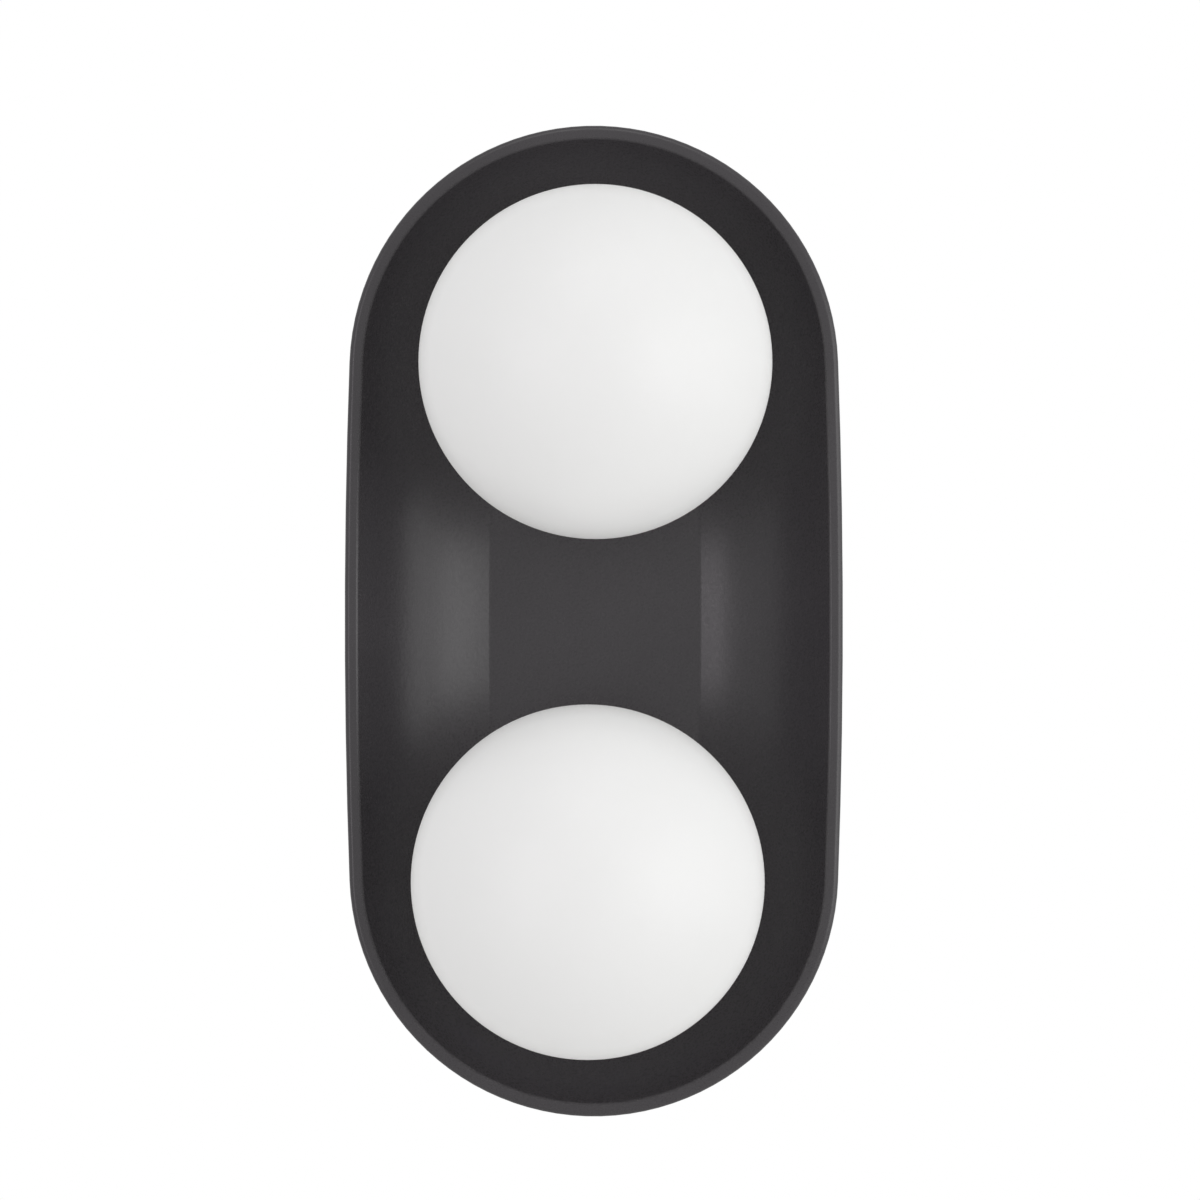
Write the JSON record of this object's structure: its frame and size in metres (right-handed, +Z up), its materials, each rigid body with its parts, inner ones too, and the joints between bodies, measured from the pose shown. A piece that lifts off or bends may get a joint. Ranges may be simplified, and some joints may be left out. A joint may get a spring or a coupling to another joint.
{
  "type": "wall light",
  "caption": "Upright oval dish wall light with opal glass globes that screw in, over a rear pan on a wall bracket.",
  "frame": {"origin": "centre of the wall bracket's rear face", "axes": "+Y into the wall, +Z up, +X to the right as seen from the front; the light stands out towards -Y"},
  "size_m": [0.175, 0.1512, 0.348],
  "materials": {
    "dish_black": "fine-textured black powder coat, semi-matt",
    "pan_black": "black powder coat",
    "cup_black": "black powder coat, turned cup",
    "opal_glass": "opal white blown glass, satin",
    "zinc_steel": "zinc-plated steel",
    "black_steel": "blackened steel, knurled",
    "tinned_copper": "tinned copper alloy",
    "brass": "bare brass",
    "black_rubber": "soft rubber",
    "silicone": "translucent white silicone",
    "ceramic": "glazed steatite ceramic",
    "nylon": "natural nylon",
    "bulb_white": "white moulded lamp base",
    "bulb_frost": "frosted polycarbonate",
    "board_white": "white-coated aluminium board",
    "chip_yellow": "phosphor over a light-emitting chip",
    "wire_brown": "brown silicone insulation",
    "wire_blue": "blue silicone insulation",
    "wire_green": "green and yellow insulation"
  },
  "bodies": {
    "bracket": {"wall_bracket": "zinc_steel", "ear_nuts": "zinc_steel", "bracket_earth_washer": "zinc_steel", "bracket_earth_screw": "brass", "cable_bush": "black_rubber"},
    "lamp_body": {"reflector_dish": "dish_black", "rear_pan": "pan_black", "terminal_block": "nylon", "terminal_inserts": "brass", "terminal_screws": "zinc_steel", "terminal_stud": "zinc_steel", "terminal_nut": "zinc_steel", "earth_stud": "zinc_steel", "earth_washer": "zinc_steel", "earth_tag": "tinned_copper", "earth_nut": "brass", "upper_live_wire": "wire_brown", "upper_neutral_wire": "wire_blue", "lower_live_wire": "wire_brown", "lower_neutral_wire": "wire_blue", "earth_wire": "wire_green", "wire_clips": "nylon", "upper_cup": "cup_black", "upper_nipple": "zinc_steel", "upper_lock_washer": "zinc_steel", "upper_lock_nut": "zinc_steel", "upper_holder_plate": "zinc_steel", "upper_lampholder": "ceramic", "upper_holder_screws": "zinc_steel", "upper_contacts": "tinned_copper", "lower_cup": "cup_black", "lower_nipple": "zinc_steel", "lower_lock_washer": "zinc_steel", "lower_lock_nut": "zinc_steel", "lower_holder_plate": "zinc_steel", "lower_lampholder": "ceramic", "lower_holder_screws": "zinc_steel", "lower_contacts": "tinned_copper"},
    "upper_ring": {"upper_seal": "silicone"},
    "upper_shade": {"upper_globe": "opal_glass"},
    "upper_bulb": {"upper_bulb_base": "bulb_white", "upper_bulb_pins": "tinned_copper", "upper_bulb_cover": "bulb_frost", "upper_led_board": "board_white", "upper_led_chips": "chip_yellow"},
    "lower_ring": {"lower_seal": "silicone"},
    "lower_shade": {"lower_globe": "opal_glass"},
    "lower_bulb": {"lower_bulb_base": "bulb_white", "lower_bulb_pins": "tinned_copper", "lower_bulb_cover": "bulb_frost", "lower_led_board": "board_white", "lower_led_chips": "chip_yellow"},
    "left_washer": {"left_screw_washer": "zinc_steel"},
    "left_screw": {"left_lock_screw": "black_steel"},
    "right_washer": {"right_screw_washer": "zinc_steel"},
    "right_screw": {"right_lock_screw": "black_steel"}
  },
  "joints": [
    {"name": "lamp_lift_off", "type": "slide", "parent": "bracket", "child": "lamp_body", "axis": [0, -1, 0], "range_m": [0, 0.03]},
    {"name": "upper_globe_travel", "type": "slide", "parent": "lamp_body", "child": "upper_ring", "axis": [0, -1, 0], "range_m": [0, 0.0081]},
    {"name": "upper_globe_turn", "type": "hinge", "parent": "upper_ring", "child": "upper_shade", "pos_m": [0, -0.0912, 0.0881], "axis": [0, -1, 0], "range_deg": [0, 720]},
    {"name": "upper_bulb_pull", "type": "slide", "parent": "lamp_body", "child": "upper_bulb", "axis": [0, -1, 0], "range_m": [0, 0.01]},
    {"name": "lower_globe_travel", "type": "slide", "parent": "lamp_body", "child": "lower_ring", "axis": [0, -1, 0], "range_m": [0, 0.0081]},
    {"name": "lower_globe_turn", "type": "hinge", "parent": "lower_ring", "child": "lower_shade", "pos_m": [0, -0.0912, -0.0881], "axis": [0, -1, 0], "range_deg": [0, 720]},
    {"name": "lower_bulb_pull", "type": "slide", "parent": "lamp_body", "child": "lower_bulb", "axis": [0, -1, 0], "range_m": [0, 0.01]},
    {"name": "left_screw_travel", "type": "slide", "parent": "bracket", "child": "left_washer", "axis": [-1, 0, 0], "range_m": [0, 0.0035]},
    {"name": "left_screw_turn", "type": "hinge", "parent": "left_washer", "child": "left_screw", "pos_m": [-0.034, -0.008, 0], "axis": [-1, 0, 0], "range_deg": [0, 1805]},
    {"name": "right_screw_travel", "type": "slide", "parent": "bracket", "child": "right_washer", "axis": [1, 0, 0], "range_m": [0, 0.0035]},
    {"name": "right_screw_turn", "type": "hinge", "parent": "right_washer", "child": "right_screw", "pos_m": [0.034, -0.008, 0], "axis": [1, 0, 0], "range_deg": [0, 1805]}
  ],
  "couplings": [
    {"joint": "upper_globe_travel", "follows": "upper_globe_turn", "m_per_rad": 0.00063662},
    {"joint": "lower_globe_travel", "follows": "lower_globe_turn", "m_per_rad": 0.00063662},
    {"joint": "left_screw_turn", "follows": "left_screw_travel", "rad_per_m": 8976},
    {"joint": "right_screw_turn", "follows": "right_screw_travel", "rad_per_m": 8976}
  ]
}
